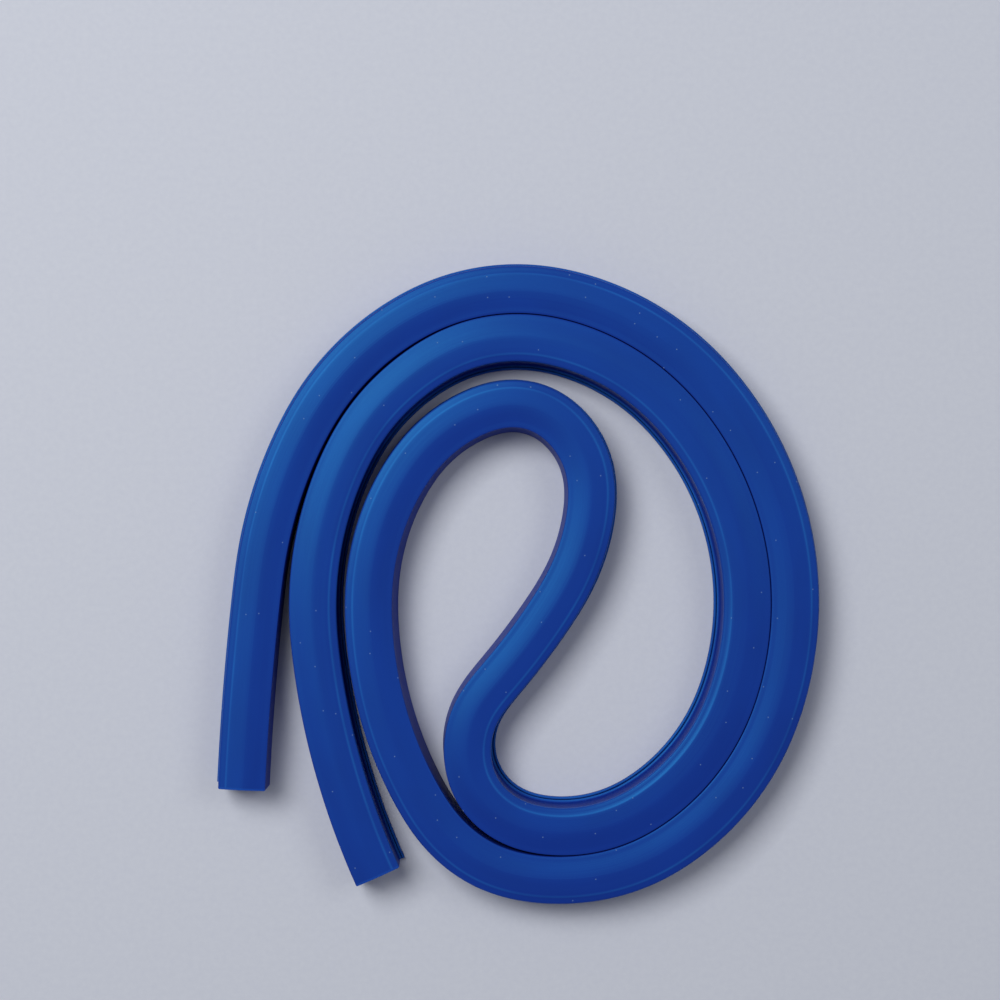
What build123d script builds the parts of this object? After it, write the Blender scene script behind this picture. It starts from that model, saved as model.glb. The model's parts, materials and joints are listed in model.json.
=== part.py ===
from build123d import *
from math import cos, radians, sin, tan
import os

# Flexible drawing curve, 765 mm long, stored rolled up flat as a double spiral.
# A vinyl sleeve with a ruling flange along one side holds a soft lead bar between two spring
# steel strips. Units are millimetres. It lies on z = 0, and the coil is centred on x = y = 0.

os.makedirs("parts", exist_ok=True)

# Sleeve cross-section. Across the strip, + is to the left of the way it runs from end A.
BODY_WIDTH = 8.9
BODY_HEIGHT = 9.8
SHOULDER = 0.85
FLANGE_WIDTH = 1.1
FLANGE_THICK = 1.1
LIP_WIDTH = 0.5
LIP_RISE = 0.25
BEAD_IN = 1.5
BEAD_WIDTH = 0.3
BEAD_DEPTH = 0.25

# Pocket and core
POCKET_WIDTH = 6.0
POCKET_LOW = 1.9
POCKET_HIGH = 7.9
CORE_GAP = 0.03
STEEL_THICK = 0.6
LEAD_WIDTH = 4.68

# End plugs
PLUG_DEPTH = 3.0
PLUG_FACE = 0.4

# Coil. The last strand lies against the inside of the outer one at this spacing.
STRAND_SPACING = 9.0
START_X = -51.91
START_Y = -38.45
START_HEADING = 87.3

# Links from end A: length along the strip, turn in degrees (+ is to the left), lean in degrees.
OUTER = [
    (40, -4, 0),
    (30.5, -21.5, 0),
    (29.5, -34, 0),
    (27.5, -39.5, 0),
    (32, -35.5, 0),
    (35, -32, 0),
    (33.5, -30.5, 0),
    (32.5, -38, 0),
    (30, -46, 0),
]

# The inner loop and the S. The two lengths left open are worked out so that the S ends exactly
# where the last strand starts against the outer one.
INNER = [
    (21, -46, 3),
    (None, -30, 5),
    (27, -33.5, 5),
    (19.5, -40.5, 4),
    (None, -51.5, 4),
    (16.5, -57, 3),
    (20.5, -30.5, 3),
    (22.5, -9, 4),
    (13.5, 49.5, 3),
    (18.5, 68.5, 0),
]

# Lean of the links that lie against the outer strand, and the last two links, to end B.
SIDE_LEAN = [0, 0, 0, 0, 0, 0, 2]
LAST = [
    (38, 34.5, 3),
    (46, 18, 2),
]

# Play at the hinge lines between links, and the extra swing they allow, in degrees
LINK_GAP = 0.05
HINGE_SLACK = 0.6

# How far the first hinge opens outwards and closes inwards, in degrees
END_OPENS = 45
END_CLOSES = 2

# How far the clearing cuts run past the sleeve
CUT_OVER = 3


def walk(x, y, heading, length, turn):
    """The place and heading at the end of an arc."""
    a = radians(heading)
    b = radians(heading + turn)
    r = length / radians(turn)
    return x + r * (sin(b) - sin(a)), y - r * (cos(b) - cos(a)), heading + turn


def all_links():
    """Every link as (length, turn, lean), with the open lengths filled in."""
    x, y, heading = START_X, START_Y, START_HEADING
    for length, turn, _ in OUTER:
        x, y, heading = walk(x, y, heading, length, turn)
    inward = radians(heading - 90)
    goal_x = x + STRAND_SPACING * cos(inward)
    goal_y = y + STRAND_SPACING * sin(inward)
    ways = []
    for length, turn, _ in INNER:
        if length is None:
            ways.append(walk(0, 0, heading, 1, turn))
            heading += turn
        else:
            x, y, heading = walk(x, y, heading, length, turn)
    (ax, ay, _), (bx, by, _) = ways
    dx, dy = goal_x - x, goal_y - y
    cross = ax * by - ay * bx
    solved = [(dx * by - dy * bx) / cross, (ax * dy - ay * dx) / cross]
    inner = [(solved.pop(0) if n is None else n, t, lean) for n, t, lean in INNER]
    side = [
        (length - STRAND_SPACING * abs(radians(turn)), -turn, lean)
        for (length, turn, _), lean in zip(reversed(OUTER[2:]), SIDE_LEAN)
    ]
    return OUTER + inner + side + LAST


LINKS = all_links()
COUNT = len(LINKS)

# Where each link starts, and end B last
STATIONS = [(START_X, START_Y, START_HEADING)]
for link_length, link_turn, _ in LINKS:
    STATIONS.append(walk(*STATIONS[-1], link_length, link_turn))


def section_plane(x, y, heading):
    """A vertical plane across the strip: its x is to the left, its y is up."""
    a = radians(heading)
    return Plane(origin=(x, y, 0), x_dir=(-sin(a), cos(a), 0), z_dir=(cos(a), sin(a), 0))


def leaned(points, lean):
    """Points of a section pushed to the left in proportion to their height."""
    return [(u + z * tan(radians(lean)), z) for u, z in points]


def outline_points(flange):
    """The sleeve's outline, anticlockwise from its lower right corner."""
    left = BODY_WIDTH / 2
    tip = left + FLANGE_WIDTH
    lip = FLANGE_THICK + LIP_RISE
    bead = left - BEAD_IN
    top = BODY_HEIGHT
    foot = [(-left, 0), (left, 0)]
    if flange:
        foot = [
            (-left, 0),
            (tip, 0),
            (tip, lip),
            (tip - LIP_WIDTH, lip),
            (tip - LIP_WIDTH, FLANGE_THICK),
            (left, FLANGE_THICK),
        ]
    return foot + [
        (left, top),
        (bead, top),
        (bead - BEAD_WIDTH / 2, top - BEAD_DEPTH),
        (bead - BEAD_WIDTH, top),
        (-left, top),
    ]


def sleeve_section(plane, lean, hollow=True):
    """The sleeve's section. Without its pocket and flange it is the section of an end plug's face."""
    outline = leaned(outline_points(hollow), lean)
    corners = [outline[-5], outline[-1]]
    with BuildSketch(plane) as sketch:
        with BuildLine():
            Polyline(*outline, close=True)
        make_face()
        for corner in corners:
            fillet(sketch.vertices().sort_by_distance(corner)[0], SHOULDER)
        if hollow:
            half = POCKET_WIDTH / 2
            with BuildLine():
                Polyline(*pocket_corners(lean, -half, half, 0), close=True)
            make_face(mode=Mode.SUBTRACT)
    return sketch.sketch


def pocket_corners(lean, low_u, high_u, inset):
    """A block in the pocket, inset from its floor and roof."""
    low, high = POCKET_LOW + inset, POCKET_HIGH - inset
    return leaned([(low_u, low), (high_u, low), (high_u, high), (low_u, high)], lean)


def block_section(plane, lean, low_u, high_u):
    """One bar of the core, or the plug's stem."""
    with BuildSketch(plane) as sketch:
        with BuildLine():
            Polyline(*pocket_corners(lean, low_u, high_u, CORE_GAP), close=True)
        make_face()
    return sketch.sketch


def stretch(i, begin, end):
    """The arc of link i from one distance along it to another."""
    length, turn, _ = LINKS[i - 1]
    share = turn / length
    x, y, heading = STATIONS[i - 1]
    if begin:
        x, y, heading = walk(x, y, heading, begin, share * begin)
    return x, y, heading, end - begin, share * (end - begin)


def swing(section, arc):
    """A section run along an arc of the strip."""
    x, y, heading, length, turn = arc
    r = length / radians(turn)
    a = radians(heading)
    centre = (x - r * sin(a), y + r * cos(a), 0)
    way = (0, 0, 1) if turn > 0 else (0, 0, -1)
    revolve(section, axis=Axis(centre, way), revolution_arc=abs(turn))


def hinge_swing(i):
    """How far the hinge after link i straightens, and how far it bends the other way.

    The first is + where straightening closes up the strip's left side.
    """
    if i == 1:
        return END_OPENS, END_CLOSES
    return -(LINKS[i - 1][1] + LINKS[i][1]) / 2, 0


def clear_wedge(x, y, heading, inward, side, angle):
    """Cuts a link's end back from a hinge line, on one side of the strip."""
    a = radians(heading)
    reach = BODY_WIDTH + FLANGE_WIDTH + CUT_OVER
    gx, gy = x + inward * LINK_GAP * cos(a), y + inward * LINK_GAP * sin(a)
    ax, ay = -side * sin(a), side * cos(a)
    slope = tan(radians(angle) / 2)
    tip = (gx + reach * (ax + inward * slope * cos(a)), gy + reach * (ay + inward * slope * sin(a)))
    back = (gx - inward * CUT_OVER * cos(a), gy - inward * CUT_OVER * sin(a))
    rear = (back[0] + reach * ax, back[1] + reach * ay)
    with BuildSketch(Plane.XY.offset(-CUT_OVER)) as notch:
        with BuildLine():
            Polyline((gx, gy), tip, rear, back, close=True)
        make_face()
    extrude(notch.sketch, amount=BODY_HEIGHT + 2 * CUT_OVER, mode=Mode.SUBTRACT)


def hinge_cuts(i):
    """Both ends of link i cut back so that its hinges can swing."""
    for joint, station, inward in ((i - 1, i - 1, 1), (i, i, -1)):
        if not 0 < joint < COUNT:
            continue
        x, y, heading = STATIONS[station]
        opening, closing = hinge_swing(joint)
        outer_side = 1 if opening > 0 else -1
        clear_wedge(x, y, heading, inward, outer_side, abs(opening) + HINGE_SLACK)
        clear_wedge(x, y, heading, inward, -outer_side, closing + HINGE_SLACK)


for i in range(1, COUNT + 1):
    length, turn, lean = LINKS[i - 1]
    first = PLUG_FACE if i == 1 else 0
    last = length - PLUG_FACE if i == COUNT else length
    arc = stretch(i, first, last)
    skin = sleeve_section(section_plane(*arc[:3]), lean)
    with BuildPart() as sleeve:
        swing(skin, arc)
        hinge_cuts(i)
    sleeve.part.label = f"sleeve_{i:02d}"
    export_step(sleeve.part, f"parts/sleeve_{i:02d}.step")

    first = PLUG_DEPTH + CORE_GAP if i == 1 else 0
    last = length - PLUG_DEPTH - CORE_GAP if i == COUNT else length
    arc = stretch(i, first, last)
    plane = section_plane(*arc[:3])
    lead = LEAD_WIDTH / 2
    near = lead + CORE_GAP
    far = near + STEEL_THICK
    widths = [(-lead, lead), (near, far), (-far, -near)]
    bars = [block_section(plane, lean, low, high) for low, high in widths]
    with BuildPart() as core:
        for bar in bars:
            swing(bar, arc)
        hinge_cuts(i)
    core.part.label = f"core_{i:02d}"
    export_step(core.part, f"parts/core_{i:02d}.step")

# The plugs: a stem in the pocket and a thin face over the square-cut end
for name, i in (("end_plug_a", 1), ("end_plug_b", COUNT)):
    length, _, lean = LINKS[i - 1]
    face = stretch(1, 0, PLUG_FACE) if i == 1 else stretch(i, length - PLUG_FACE, length)
    stem = stretch(1, 0, PLUG_DEPTH) if i == 1 else stretch(i, length - PLUG_DEPTH, length)
    half = POCKET_WIDTH / 2 - CORE_GAP
    face_section = sleeve_section(section_plane(*face[:3]), lean, hollow=False)
    stem_section = block_section(section_plane(*stem[:3]), lean, -half, half)
    with BuildPart() as plug:
        swing(face_section, face)
        swing(stem_section, stem)
    plug.part.label = name
    export_step(plug.part, f"parts/{name}.step")
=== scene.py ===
import json
import math

import bpy
import numpy as np
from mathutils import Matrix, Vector
from mathutils.geometry import tessellate_polygon

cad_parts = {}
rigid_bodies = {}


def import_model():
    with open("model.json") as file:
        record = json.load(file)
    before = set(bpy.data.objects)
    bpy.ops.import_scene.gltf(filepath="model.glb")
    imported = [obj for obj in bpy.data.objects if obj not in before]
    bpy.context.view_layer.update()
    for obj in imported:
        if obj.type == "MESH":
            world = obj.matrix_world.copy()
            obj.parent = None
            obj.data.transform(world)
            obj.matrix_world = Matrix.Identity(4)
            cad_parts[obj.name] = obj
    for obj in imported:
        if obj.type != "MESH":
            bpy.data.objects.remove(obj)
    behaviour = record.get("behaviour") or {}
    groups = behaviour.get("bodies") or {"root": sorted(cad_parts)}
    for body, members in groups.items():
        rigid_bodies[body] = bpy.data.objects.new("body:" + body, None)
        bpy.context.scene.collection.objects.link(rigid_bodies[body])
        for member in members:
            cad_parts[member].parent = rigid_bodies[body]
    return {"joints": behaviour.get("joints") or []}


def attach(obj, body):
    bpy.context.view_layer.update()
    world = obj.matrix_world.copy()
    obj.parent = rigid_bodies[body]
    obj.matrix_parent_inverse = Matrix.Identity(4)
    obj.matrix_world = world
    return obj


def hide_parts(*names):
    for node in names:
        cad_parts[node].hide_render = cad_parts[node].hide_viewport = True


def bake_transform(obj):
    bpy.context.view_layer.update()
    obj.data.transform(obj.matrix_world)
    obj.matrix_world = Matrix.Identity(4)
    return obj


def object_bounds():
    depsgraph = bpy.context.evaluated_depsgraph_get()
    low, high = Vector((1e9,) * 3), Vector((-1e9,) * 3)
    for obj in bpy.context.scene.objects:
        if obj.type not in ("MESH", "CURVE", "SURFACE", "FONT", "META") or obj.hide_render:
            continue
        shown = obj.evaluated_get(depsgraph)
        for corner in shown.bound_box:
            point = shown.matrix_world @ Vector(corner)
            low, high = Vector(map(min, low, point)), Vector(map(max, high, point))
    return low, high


# A flexible drawing curve, rolled up flat as a double spiral: a blue vinyl sleeve over a lead bar
# and two spring steel strips. Metres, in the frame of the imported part. Distances along the strip
# run from end A, and + across the strip is to the left of that way.

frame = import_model()
cad_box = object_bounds()

MM = 0.001
TINY_TURN = 1e-9
TINY_LENGTH = 1e-12
TINY_AREA = 1e-16

# Sleeve
WIDTH = 8.9 * MM
HEIGHT = 9.8 * MM
HALF = WIDTH / 2
FOOT_ROUND = 0.3 * MM
FLANGE_TIP = HALF + 1.1 * MM
FLANGE_TOP = 1.1 * MM
LIP_HALF = 0.25 * MM
LIP_RISE = 0.06 * MM
FLANGE_ROUND = 0.45 * MM
STEP_AT = HALF - 1.45 * MM
LINE_PITCH = 0.45 * MM
LINE_HEIGHT = 0.0015 * MM
WALL_LOW = 3.5 * MM
WALL_HIGH = 6.0 * MM

# The top face from the left wall to the right one, in millimetres. Each pair is how far in from
# the nearer wall, or to the left of the middle, and how far below the highest line. A small step
# runs along the strip on each side of the crowned middle.
LEFT_TOP = [
    (0, 1.8),
    (0, 0.75),
    (0.2, 0.5),
    (0.6, 0.42),
    (1.1, 0.34),
    (1.5, 0.2),
    (2.0, 0.14),
    (3.0, 0.07),
]
MIDDLE_TOP = [(0.4, 0.01), (-0.2, 0.0), (-0.6, 0.03)]
RIGHT_TOP = [
    (3.3, 0.09),
    (2.6, 0.19),
    (1.5, 0.38),
    (1.1, 0.46),
    (0.4, 0.54),
    (0.1, 0.6),
    (0, 0.72),
    (0, 1.4),
]

# The depth of the top face's shape wavers along the strip by this share, in two slow waves
DEPTH_WAVER = 0.08
LONG_WAVE = 11.3 * MM
SHORT_WAVE = 4.1 * MM

# Painted highlight: how far the lighter blue painted on as a highlight fades in on the flange, at the left
# shoulder and at the step, and the heights it starts from
LIP_HIGHLIGHT = 0.5 * MM
LIP_FOOT = 0.5 * MM
RIM_HIGHLIGHT = 0.25 * MM
RIM_DEPTH = 1.2 * MM
STEP_HIGHLIGHT = 0.2 * MM

# Pocket, core and plugs
POCKET = 6.0 * MM
POCKET_LOW = 1.9 * MM
POCKET_HIGH = 7.9 * MM
CORE_GAP = 0.03 * MM
LEAD = 4.68 * MM
STEEL = 0.6 * MM
PLUG_FACE = 0.4 * MM
PLUG_DEPTH = 3.0 * MM
PLUG_ROUND = 0.25 * MM

# Coil: the strip's heading at the first hinge, and the length and turn of the first and the last
# link, whose far ends have no hinge. Angles are in degrees.
FIRST_HEADING = 83.3
END_A = (40 * MM, -4.0)
END_B = (46 * MM, 18.0)
RING_STEP = 0.8 * MM

# The changes of curvature between links are eased by a weighted mean of places along the strip
EASE_STEPS = (-6 * MM, -3 * MM, 0, 3 * MM, 6 * MM)
EASE_WEIGHTS = (1 / 16, 4 / 16, 6 / 16, 4 / 16, 1 / 16)

# How far each link of the strip leans to its left, in degrees
LEANS = [0] * 9 + [3, 5, 5, 4, 4, 3, 3, 4, 3, 0] + [0] * 6 + [2, 3, 2]

# Colours, how strongly the painted highlight blue and the dust show, and the share of places without dust
HIGHLIGHT_BLUE = (0.02, 0.15, 0.52)
HIGHLIGHT_SHARE = 0.5
DUST = (0.30, 0.45, 0.62)
DUST_SHARE = 0.45
CLEAN_SHARE = 0.72
BLUE_GLOSS = (0.06, 0.55, 1.0, 1.0)
PALE_GREY = (0.60, 0.625, 0.70)
PALER_GREY = (0.625, 0.65, 0.72)
STUDIO_WHITE = (0.86, 0.89, 1.0, 1.0)
STUDIO_STRENGTH = 0.19

# The values of a noise texture lie mostly between these
NOISE_RANGE = (0.3, 0.7)

# Floor and camera. The camera stands off the coil's middle, above its top.
FLOOR_HALF = 3.0
FLOOR_DROP = 0.05 * MM
SENSOR_MM = 36.0
LENS_MM = 85.7
VIEW_X = -3.50 * MM
VIEW_Y = 15.88 * MM
VIEW_HEIGHT = 0.445


# ---- the strip's line -------------------------------------------------------------------------

def link_number(body):
    return int(body.split("_")[1])


def hinge_number(joint):
    return min(link_number(joint["parent"]), link_number(joint["child"]))


HINGES = sorted(frame["joints"], key=hinge_number)


def walk(x, y, heading, length, turn):
    """The place and heading at the end of an arc. Angles are in radians."""
    if abs(turn) < TINY_TURN:
        return x + length * math.cos(heading), y + length * math.sin(heading), heading
    r = length / turn
    after = heading + turn
    return (
        x + r * (math.sin(after) - math.sin(heading)),
        y - r * (math.cos(after) - math.cos(heading)),
        after,
    )


def strip_arcs():
    """One arc for each link, as (x, y, heading, length, turn)."""
    length, turn = END_A[0], math.radians(END_A[1])
    x, y = HINGES[0]["pos_m"][:2]
    heading = math.radians(FIRST_HEADING)
    back_x, back_y, back = walk(x, y, heading + math.pi, length, -turn)
    arcs = [(back_x, back_y, back - math.pi, length, turn)]
    for joint in HINGES[1:]:
        to_x, to_y = joint["pos_m"][:2]
        chord = math.atan2(to_y - y, to_x - x) - heading
        half_turn = (chord + math.pi) % (2 * math.pi) - math.pi
        length = math.hypot(to_x - x, to_y - y) * half_turn / math.sin(half_turn)
        arcs.append((x, y, heading, length, 2 * half_turn))
        x, y, heading = to_x, to_y, heading + 2 * half_turn
    arcs.append((x, y, heading, END_B[0], math.radians(END_B[1])))
    return arcs


ARCS = strip_arcs()
STARTS = np.concatenate([[0], np.cumsum([arc[3] for arc in ARCS])])
LENGTH = STARTS[-1]
MIDDLES = (STARTS[:-1] + STARTS[1:]) / 2


def on_arc(s):
    i = int(np.clip(np.searchsorted(STARTS, s, side="right") - 1, 0, len(ARCS) - 1))
    x, y, heading, length, turn = ARCS[i]
    part = s - STARTS[i]
    return np.array(walk(x, y, heading, part, turn * part / length))


def place(s):
    """The centre of the strip and its left, with the changes of curvature between links eased."""
    x, y, heading = sum(w * on_arc(s + step) for step, w in zip(EASE_STEPS, EASE_WEIGHTS))
    return np.array([x, y, 0.0]), np.array([-math.sin(heading), math.cos(heading), 0.0])


def lean_at(s):
    """The tangent of the strip's lean at s, eased from the middle of one link to the next."""
    i = int(np.clip(np.searchsorted(MIDDLES, s) - 1, 0, len(MIDDLES) - 2))
    t = float(np.clip((s - MIDDLES[i]) / (MIDDLES[i + 1] - MIDDLES[i]), 0, 1))
    degrees = LEANS[i] + (LEANS[i + 1] - LEANS[i]) * t * t * (3 - 2 * t)
    return math.tan(math.radians(degrees))


def waver(s):
    """Slow unevenness of the extrusion, from -1 to 1."""
    return 0.6 * math.sin(s / LONG_WAVE) + 0.4 * math.sin(s / SHORT_WAVE + 1.7)


# ---- outlines: closed, anticlockwise, as (across, up), at a distance s along the strip ----------

def curve_points(x, y, rx, ry, begin, end, count):
    """Points on an ellipse, from one angle to another in degrees."""
    angles = np.radians(np.linspace(begin, end, count))
    return [(x + rx * math.cos(a), y + ry * math.sin(a)) for a in angles]


def flange_points():
    """From the foot's right corner along the bottom, round the flange and up to the left wall."""
    r = FOOT_ROUND
    lip_top = FLANGE_TOP + LIP_RISE - LIP_HALF
    lip_at = FLANGE_TIP - LIP_HALF
    inner = HALF + FLANGE_ROUND
    return (
        curve_points(-HALF + r, r, r, r, 180, 270, 6)
        + [(-HALF / 2, 0), (HALF / 2, 0), (HALF, 0)]
        + curve_points(FLANGE_TIP - r / 2, r / 2, r / 2, r / 2, 270, 360, 4)
        + [(FLANGE_TIP, lip_top * 0.6)]
        + curve_points(lip_at, lip_top, LIP_HALF, LIP_HALF, 0, 150, 8)
        + [(lip_at - LIP_HALF * 1.3, FLANGE_TOP), ((lip_at + inner) / 2, FLANGE_TOP)]
        + curve_points(inner, FLANGE_TOP + FLANGE_ROUND, FLANGE_ROUND, FLANGE_ROUND, 270, 180, 7)
    )


def rounded(points, times=3):
    """An open run of points with its corners cut, again and again."""
    run = np.array(points)
    for _ in range(times):
        near = run[:-1] * 0.75 + run[1:] * 0.25
        far = run[:-1] * 0.25 + run[1:] * 0.75
        middle = np.column_stack([near, far]).reshape(-1, 2)
        run = np.vstack([run[:1], middle, run[-1:]])
    return run


def top_points(s):
    """Up from the left wall, over the top face and down to the right wall."""
    deep = MM * (1 + DEPTH_WAVER * waver(s))
    left = [(HALF - inset * MM, drop) for inset, drop in LEFT_TOP]
    right = [(-HALF + inset * MM, drop) for inset, drop in RIGHT_TOP]
    middle = [(u * MM, drop) for u, drop in MIDDLE_TOP]
    profile = rounded([(u, HEIGHT - drop * deep) for u, drop in left + middle + right])
    lines = np.sin(2 * math.pi * profile[:, 0] / LINE_PITCH) - 1
    profile[:, 1] += lines * LINE_HEIGHT * (np.abs(profile[:, 0]) < STEP_AT)
    return [(HALF, WALL_LOW), (HALF, WALL_HIGH)] + [tuple(p) for p in profile] + [(-HALF, WALL_LOW)]


def sleeve_outline(s):
    return flange_points() + top_points(s)


def box_outline(low_u, high_u, inset):
    low, high = POCKET_LOW + inset, POCKET_HIGH - inset
    return [(low_u, low), (high_u, low), (high_u, high), (low_u, high)]


def pocket_outline(s):
    """The hollow's outline, clockwise, so that its wall faces inwards."""
    return box_outline(-POCKET / 2, POCKET / 2, 0)[::-1]


def lead_outline(s):
    return box_outline(-LEAD / 2, LEAD / 2, CORE_GAP)


def left_steel_outline(s):
    near = LEAD / 2 + CORE_GAP
    return box_outline(near, near + STEEL, CORE_GAP)


def right_steel_outline(s):
    near = LEAD / 2 + CORE_GAP
    return box_outline(-near - STEEL, -near, CORE_GAP)


def shrunk(outline, inset):
    """The outline moved inwards along its normals."""
    return [tuple(p) for p in np.array(outline) - normals_of(outline) * inset]


def normals_of(outline):
    """Outward normals at the corners of an outline; a longer side counts for more."""
    points = np.array(outline)
    sides = np.roll(points, -1, axis=0) - points
    square = np.column_stack([sides[:, 1], -sides[:, 0]])
    both = square + np.roll(square, 1, axis=0)
    return both / np.maximum(np.linalg.norm(both, axis=1), TINY_LENGTH)[:, None]


# ---- swept pieces -----------------------------------------------------------------------------

def ring_points(outline, s, lean):
    """An outline stood across the strip at one distance along it, with its normals."""
    centre, left = place(s)
    flat = np.array(outline)
    flat_normals = normals_of(outline)
    across = flat[:, 0] + flat[:, 1] * lean
    points = centre + across[:, None] * left
    points[:, 2] = flat[:, 1]
    normals = flat_normals[:, :1] * left
    normals[:, 2] = flat_normals[:, 1]
    return points, normals


def cap_triangles(outlines):
    """Triangles that close one end between an outline and the holes in it, facing along the strip."""
    loops = [[Vector((u, z, 0)) for u, z in outline] for outline in outlines]
    corners = [p for loop in loops for p in loop]
    triangles = []
    for a, b, c in tessellate_polygon(loops):
        area = (corners[b] - corners[a]).cross(corners[c] - corners[a]).z
        if abs(area) > TINY_AREA:
            triangles.append((a, b, c) if area > 0 else (a, c, b))
    return triangles


class Sweep:
    """Closed tubes that are gathered into one mesh."""

    def __init__(self):
        self.points = []
        self.faces = []
        self.normals = []
        self.uvs = []
        self.slots = []
        self.wear = []

    def face(self, corners, normals, uvs, slot):
        self.faces.append(corners)
        self.normals.extend(normals)
        self.uvs.extend(uvs)
        self.slots.append(slot)

    def tube(self, shapes, stations, slot=0, insets=None, wear=None):
        """Adds a tube run through the stations: the first outline is outside, the others are holes."""
        rings = []
        for j, s in enumerate(stations):
            outlines = [shape(s) for shape in shapes]
            if insets is not None and insets[j] > 0:
                outlines = [shrunk(outline, insets[j]) for outline in outlines]
            row = []
            for outline in outlines:
                points, normals = ring_points(outline, s, lean_at(s))
                row.append((len(self.points), normals, outline))
                self.points.extend(points)
                self.wear.extend(wear(outline) if wear else [0.0] * len(outline))
            rings.append(row)
        for j in range(len(stations) - 1):
            for (base, normals, outline), (after, next_normals, _) in zip(rings[j], rings[j + 1]):
                self.side(base, after, normals, next_normals, outline, stations[j], stations[j + 1], slot)
        self.cap(rings[0], stations[0], slot, forward=False)
        self.cap(rings[-1], stations[-1], slot, forward=True)

    def side(self, base, after, normals, next_normals, outline, s, next_s, slot):
        count = len(outline)
        sides = np.linalg.norm(np.roll(np.array(outline), -1, axis=0) - np.array(outline), axis=1)
        around = np.concatenate([[0], np.cumsum(sides)])
        for i in range(count):
            k = (i + 1) % count
            self.face(
                (base + i, base + k, after + k, after + i),
                (normals[i], normals[k], next_normals[k], next_normals[i]),
                ((s, around[i]), (s, around[i + 1]), (next_s, around[i + 1]), (next_s, around[i])),
                slot,
            )

    def cap(self, ring, s, slot, forward):
        outlines = [outline for _, _, outline in ring]
        corners = [p for outline in outlines for p in outline]
        indices = [base + i for base, _, outline in ring for i in range(len(outline))]
        left = place(s)[1]
        facing = np.array([left[1], -left[0], 0.0]) * (1 if forward else -1)
        for a, b, c in cap_triangles(outlines):
            trio = (a, b, c) if forward else (a, c, b)
            self.face(
                tuple(indices[t] for t in trio),
                (facing,) * 3,
                tuple((s + corners[t][0], corners[t][1]) for t in trio),
                slot,
            )

    def build(self, name, materials):
        mesh = bpy.data.meshes.new(name)
        mesh.from_pydata([tuple(p) for p in self.points], [], self.faces)
        for material in materials:
            mesh.materials.append(material)
        mesh.polygons.foreach_set("material_index", self.slots)
        mesh.polygons.foreach_set("use_smooth", [True] * len(self.faces))
        layer = mesh.uv_layers.new(name="Strip")
        layer.data.foreach_set("uv", np.array(self.uvs, np.float32).ravel())
        # Each point's share of the painted highlight on the sleeve's edges
        highlight_attribute = mesh.attributes.new("Painted_highlight", "FLOAT", "POINT")
        highlight_attribute.data.foreach_set("value", np.array(self.wear, np.float32))
        mesh.normals_split_custom_set([tuple(n) for n in self.normals])
        mesh.update()
        piece = bpy.data.objects.new(name, mesh)
        bpy.context.scene.collection.objects.link(piece)
        return piece


def stations_between(begin, end):
    return list(np.linspace(begin, end, max(2, round((end - begin) / RING_STEP) + 1)))


def across_hinge(piece, k, begin, end):
    """Works out how far the piece reaches along the strip from hinge k's pivot, then bakes its place into
    its mesh. The reach is not used, and the piece is not bent.
    """
    joint = HINGES[k - 1]
    pivot = Vector((joint["pos_m"][0], joint["pos_m"][1], 0))
    s = STARTS[k]
    heading = on_arc(s)[2]
    along = Vector((math.cos(heading), math.sin(heading), 0))
    reach = END_A[0]
    for ring_s, way in ((begin, -1), (end, 1)):
        centre, left = place(ring_s)
        slant = abs(Vector(left).dot(along)) * FLANGE_TIP
        reach = min(reach, way * (Vector(centre) - pivot).dot(along) - slant)
    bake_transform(piece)


# ---- materials --------------------------------------------------------------------------------

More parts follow.
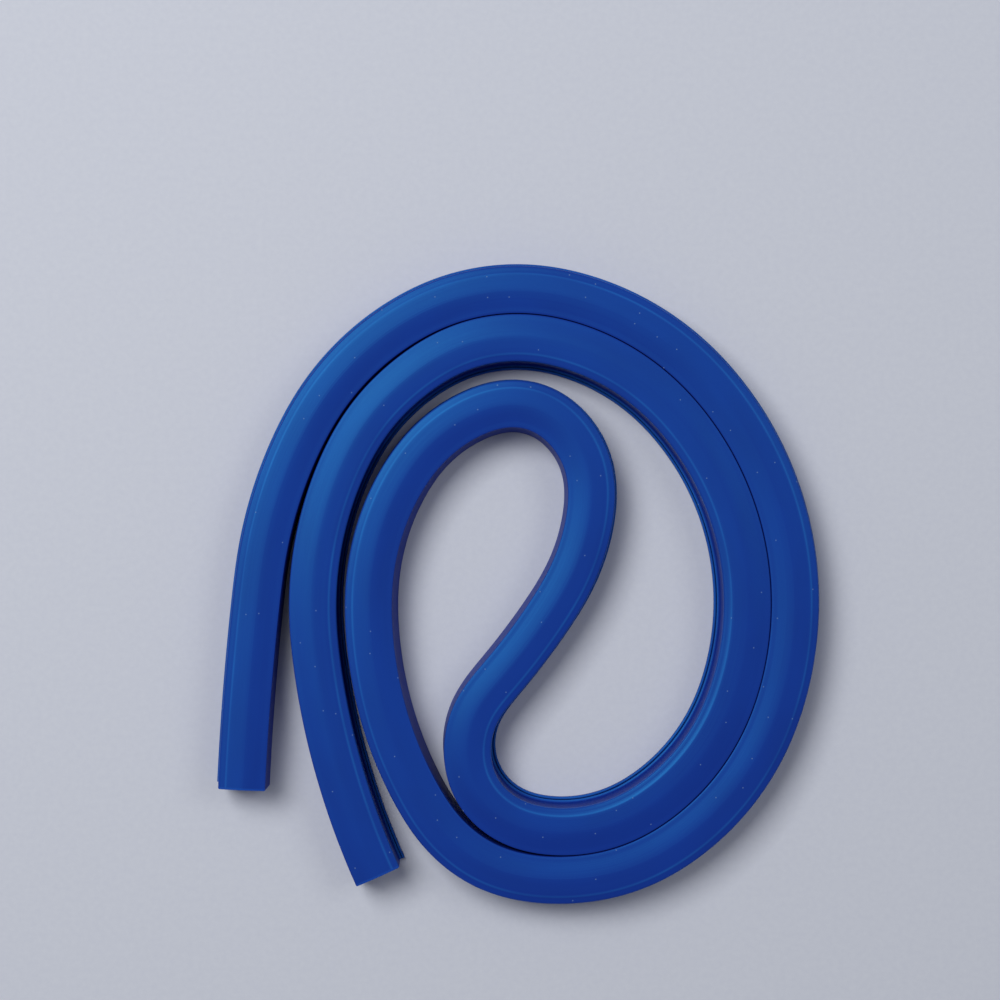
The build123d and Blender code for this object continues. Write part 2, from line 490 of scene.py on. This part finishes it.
class Nodes:
    """A material's node tree, with short calls for making and linking nodes."""

    def __init__(self, name):
        self.material = bpy.data.materials.new(name)
        self.material.use_nodes = True
        self.tree = self.material.node_tree
        self.shader = self.tree.nodes["Principled BSDF"]

    def add(self, kind, **inputs):
        node = self.tree.nodes.new(kind)
        for name, value in inputs.items():
            node.inputs[name].default_value = value
        return node

    def link(self, source, node, socket):
        self.tree.links.new(source, node.inputs[socket])

    def strip_coordinates(self, along, across):
        """Where a point is along and across the strip, for a pattern that repeats so often a metre."""
        uv = self.add("ShaderNodeUVMap")
        uv.uv_map = "Strip"
        scaled = self.tree.nodes.new("ShaderNodeVectorMath")
        scaled.operation = "MULTIPLY"
        scaled.inputs[1].default_value = (along, across, 1.0)
        self.link(uv.outputs["UV"], scaled, 0)
        return scaled.outputs["Vector"]

    def noise(self, coordinates, detail):
        node = self.add("ShaderNodeTexNoise", Scale=1.0, Detail=detail)
        self.link(coordinates, node, "Vector")
        return node.outputs["Fac"]

    def upward(self):
        """How much the surface faces up, from 0 to 1."""
        split = self.tree.nodes.new("ShaderNodeSeparateXYZ")
        self.link(self.tree.nodes.new("ShaderNodeNewGeometry").outputs["Normal"], split, "Vector")
        return split.outputs["Z"]

    def spread(self, noise, low, high):
        """Noise, which seldom leaves its middle range, spread from low to high."""
        return self.ranged(noise, *NOISE_RANGE, low, high)

    def ranged(self, value, from_low, from_high, low, high):
        node = self.tree.nodes.new("ShaderNodeMapRange")
        for name, number in zip(
            ("From Min", "From Max", "To Min", "To Max"), (from_low, from_high, low, high)
        ):
            node.inputs[name].default_value = number
        self.link(value, node, "Value")
        return node.outputs["Result"]

    def maths(self, operation, a, b):
        node = self.tree.nodes.new("ShaderNodeMath")
        node.operation = operation
        for socket, value in ((0, a), (1, b)):
            if isinstance(value, (int, float)):
                node.inputs[socket].default_value = value
            else:
                self.link(value, node, socket)
        return node.outputs["Value"]

    def mixed(self, share, a, b):
        node = self.tree.nodes.new("ShaderNodeMix")
        node.data_type = "RGBA"
        self.link(share, node, "Factor")
        for socket, value in ((6, a), (7, b)):
            if isinstance(value, tuple):
                node.inputs[socket].default_value = (*value, 1.0)
            else:
                self.tree.links.new(value, node.inputs[socket])
        return node.outputs[2]

    def bumped(self, height, distance):
        node = self.add("ShaderNodeBump", Strength=1.0, Distance=distance)
        self.link(height, node, "Height")
        return node.outputs["Normal"]


def vinyl_material(name, deep, bright):
    """Soft glossy vinyl: drawn lines along the strip, faint mottling, a painted highlight along some
    edges, and dust.
    """
    n = Nodes(name)
    mottle = n.noise(n.strip_coordinates(60, 160), 2.0)
    drawn = n.noise(n.strip_coordinates(12, 5200), 2.0)
    grain = n.noise(n.strip_coordinates(3800, 3800), 4.0)
    colour = n.mixed(n.spread(mottle, 0, 1), deep, bright)

    # The flange, the left shoulder and the step are mixed towards a lighter blue: a painted highlight
    highlight_attribute = n.tree.nodes.new("ShaderNodeAttribute")
    highlight_attribute.attribute_name = "Painted_highlight"
    highlight_amount = n.maths("MULTIPLY", highlight_attribute.outputs["Fac"], n.spread(mottle, 0.4, 1.0))
    colour = n.mixed(n.maths("MULTIPLY", highlight_amount, HIGHLIGHT_SHARE), colour, HIGHLIGHT_BLUE)

    dots = n.tree.nodes.new("ShaderNodeTexVoronoi")
    dots.voronoi_dimensions = "2D"
    dots.inputs["Scale"].default_value = 1.0
    n.link(n.strip_coordinates(210, 210), dots, "Vector")
    dust = n.ranged(dots.outputs["Distance"], 0.012, 0.03, 1.0, 0.0)
    split = n.tree.nodes.new("ShaderNodeSeparateColor")
    n.link(dots.outputs["Color"], split, "Color")
    dust = n.maths("MULTIPLY", dust, n.maths("GREATER_THAN", split.outputs["Red"], CLEAN_SHARE))
    colour = n.mixed(n.maths("MULTIPLY", dust, DUST_SHARE), colour, DUST)

    rough = n.maths("ADD", n.spread(drawn, 0.36, 0.44), n.spread(grain, -0.02, 0.03))
    rough = n.maths("ADD", rough, n.maths("MULTIPLY", dust, 0.3))
    relief = n.maths("ADD", drawn, n.maths("MULTIPLY", grain, 0.25))
    n.link(colour, n.shader, "Base Color")
    n.link(rough, n.shader, "Roughness")
    n.link(n.bumped(relief, 0.012 * MM), n.shader, "Normal")
    n.link(n.ranged(n.upward(), 0.1, 0.75, 0.02, 0.6), n.shader, "Specular IOR Level")
    n.shader.inputs["Specular Tint"].default_value = BLUE_GLOSS
    n.shader.inputs["IOR"].default_value = 1.5
    return n.material


def metal_material(name, colour, dull, rough, stretch):
    """Drawn or rolled metal: fine lines along the strip and dull patches."""
    n = Nodes(name)
    lines = n.noise(n.strip_coordinates(stretch, 4000), 3.0)
    patches = n.noise(n.strip_coordinates(300, 300), 4.0)
    n.link(n.mixed(n.ranged(patches, 0.35, 0.65, 0, 1), colour, dull), n.shader, "Base Color")
    n.link(n.spread(lines, rough - 0.07, rough + 0.1), n.shader, "Roughness")
    n.link(n.bumped(lines, 0.01 * MM), n.shader, "Normal")
    n.shader.inputs["Metallic"].default_value = 1.0
    return n.material


def floor_material():
    """A plain pale matt surface with the faintest paper tooth."""
    n = Nodes("Pale_floor")
    where = n.tree.nodes.new("ShaderNodeNewGeometry")
    tooth = n.add("ShaderNodeTexNoise", Scale=900.0, Detail=3.0)
    n.link(where.outputs["Position"], tooth, "Vector")
    tone = n.spread(tooth.outputs["Fac"], 0, 1)
    n.link(n.mixed(tone, PALE_GREY, PALER_GREY), n.shader, "Base Color")
    n.shader.inputs["Roughness"].default_value = 0.75
    return n.material


VINYL = vinyl_material("Cobalt_vinyl", (0.009, 0.030, 0.27), (0.009, 0.034, 0.30))
PLUG_VINYL = vinyl_material("Plug_vinyl", (0.010, 0.045, 0.33), (0.012, 0.055, 0.36))
LEAD_METAL = metal_material("Lead", (0.23, 0.24, 0.26), (0.16, 0.165, 0.175), 0.5, 40)
SPRING_STEEL = metal_material("Spring_steel", (0.55, 0.56, 0.58), (0.42, 0.43, 0.46), 0.25, 15)


# ---- the strip --------------------------------------------------------------------------------

def sleeve_highlight(outline):
    """How much painted highlight each point gets: the flange's lip, the left shoulder and the step beside
    it.
    """
    across, up = np.array(outline).T
    lip = np.clip((across - HALF) / LIP_HIGHLIGHT, 0, 1) * (up > LIP_FOOT)
    rim = np.clip(1 - (HALF - across) / RIM_HIGHLIGHT, 0, 1) * (up > HEIGHT - RIM_DEPTH)
    step = np.exp(-(((across - STEP_AT) / STEP_HIGHLIGHT) ** 2)) * (up > HEIGHT / 2)
    return list(np.clip(lip + rim + step, 0, 1))


def make_sleeve(k, begin, end):
    """The stretch of sleeve over hinge k."""
    sweep = Sweep()
    # The flange, left shoulder and step of the sleeve get a painted highlight
    sweep.tube([sleeve_outline, pocket_outline], stations_between(begin, end), wear=sleeve_highlight)
    piece = sweep.build(f"sleeve_stretch_{k:02d}", [VINYL])
    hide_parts(f"sleeve_{k:02d}", f"sleeve_{k + 1:02d}")
    across_hinge(piece, k, begin, end)


def make_core(k, begin, end):
    """The lead bar and the two steel strips over hinge k."""
    sweep = Sweep()
    stations = stations_between(begin, end)
    for shape, slot in ((lead_outline, 0), (left_steel_outline, 1), (right_steel_outline, 1)):
        sweep.tube([shape], stations, slot)
    piece = sweep.build(f"core_stretch_{k:02d}", [LEAD_METAL, SPRING_STEEL])
    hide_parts(f"core_{k:02d}", f"core_{k + 1:02d}")
    across_hinge(piece, k, begin, end)


def make_strip():
    """The sleeve and the core, one stretch for each hinge; the end stretches stop at the plugs."""
    last = len(HINGES)
    inside = PLUG_DEPTH + CORE_GAP
    for k in range(1, last + 1):
        begin, end = MIDDLES[k - 1], MIDDLES[k]
        first, final = k == 1, k == last
        make_sleeve(k, PLUG_FACE if first else begin, LENGTH - PLUG_FACE if final else end)
        make_core(k, inside if first else begin, LENGTH - inside if final else end)


def plug_outline(s):
    """The sleeve's outline without its flange."""
    r = FOOT_ROUND
    foot = curve_points(-HALF + r, r, r, r, 180, 270, 6) + [(0, 0)]
    foot += curve_points(HALF - r, r, r, r, 270, 360, 6)
    return foot + top_points(s)


def stem_outline(s):
    half = POCKET / 2 - CORE_GAP
    return box_outline(-half, half, CORE_GAP)


def make_plug(name, body, mouth, inward):
    """An end plug: a rounded face over the cut end and a stem in the pocket."""
    sweep = Sweep()
    steps = np.linspace(0, math.pi / 2, 6)
    rims = [(PLUG_ROUND * (1 - math.sin(a)), PLUG_ROUND * (1 - math.cos(a))) for a in steps]
    face = [(mouth + inward * depth, inset) for inset, depth in rims] + [(mouth + inward * PLUG_FACE, 0.0)]
    face.sort()
    sweep.tube([plug_outline], [s for s, _ in face], insets=[inset for _, inset in face])
    stem = sorted([mouth + inward * PLUG_FACE, mouth + inward * PLUG_DEPTH])
    sweep.tube([stem_outline], stem)
    piece = sweep.build(name + "_finished", [PLUG_VINYL])
    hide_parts(name)
    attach(piece, body)


make_strip()
make_plug("end_plug_a", "link_01", 0.0, 1)
make_plug("end_plug_b", f"link_{len(HINGES) + 1:02d}", LENGTH, -1)


# ---- floor, lights and camera -----------------------------------------------------------------

def make_floor():
    mesh = bpy.data.meshes.new("Floor")
    corners = [(FLOOR_HALF * x, FLOOR_HALF * y, 0) for x, y in ((-1, -1), (1, -1), (1, 1), (-1, 1))]
    mesh.from_pydata(corners, [], [(0, 1, 2, 3)])
    mesh.materials.append(floor_material())
    floor = bpy.data.objects.new("Floor", mesh)
    floor.location.z = -FLOOR_DROP
    bpy.context.scene.collection.objects.link(floor)


def make_light(name, power, size, place_at):
    """A square soft box that faces the middle of the coil."""
    light = bpy.data.lights.new(name, "AREA")
    light.size = size
    light.energy = power
    lamp = bpy.data.objects.new(name, light)
    lamp.location = place_at
    lamp.rotation_mode = "QUATERNION"
    lamp.rotation_quaternion = (-Vector(place_at)).to_track_quat("-Z", "Y")
    bpy.context.scene.collection.objects.link(lamp)


def make_lights():
    make_light("Key", 6.6, 0.5, (-0.36, 0.33, 0.85))
    make_light("Right_fill", 1.1, 0.4, (0.5, 0.25, 0.8))
    world = bpy.data.worlds.new("Studio")
    world.use_nodes = True
    background = world.node_tree.nodes["Background"]
    background.inputs["Color"].default_value = STUDIO_WHITE
    background.inputs["Strength"].default_value = STUDIO_STRENGTH
    bpy.context.scene.world = world


def make_camera():
    """Straight down on the coil, from a little to the -X and +Y sides of its middle."""
    low, high = cad_box
    camera = bpy.data.objects.new("Camera", bpy.data.cameras.new("Camera"))
    camera.data.sensor_width = SENSOR_MM
    camera.data.lens = LENS_MM
    camera.data.clip_start = 0.01
    camera.data.clip_end = 20.0
    middle = (low + high) / 2
    camera.location = (middle.x + VIEW_X, middle.y + VIEW_Y, high.z + VIEW_HEIGHT)
    bpy.context.scene.collection.objects.link(camera)
    bpy.context.scene.camera = camera
    bpy.context.scene.view_settings.view_transform = "Standard"


make_floor()
make_lights()
make_camera()
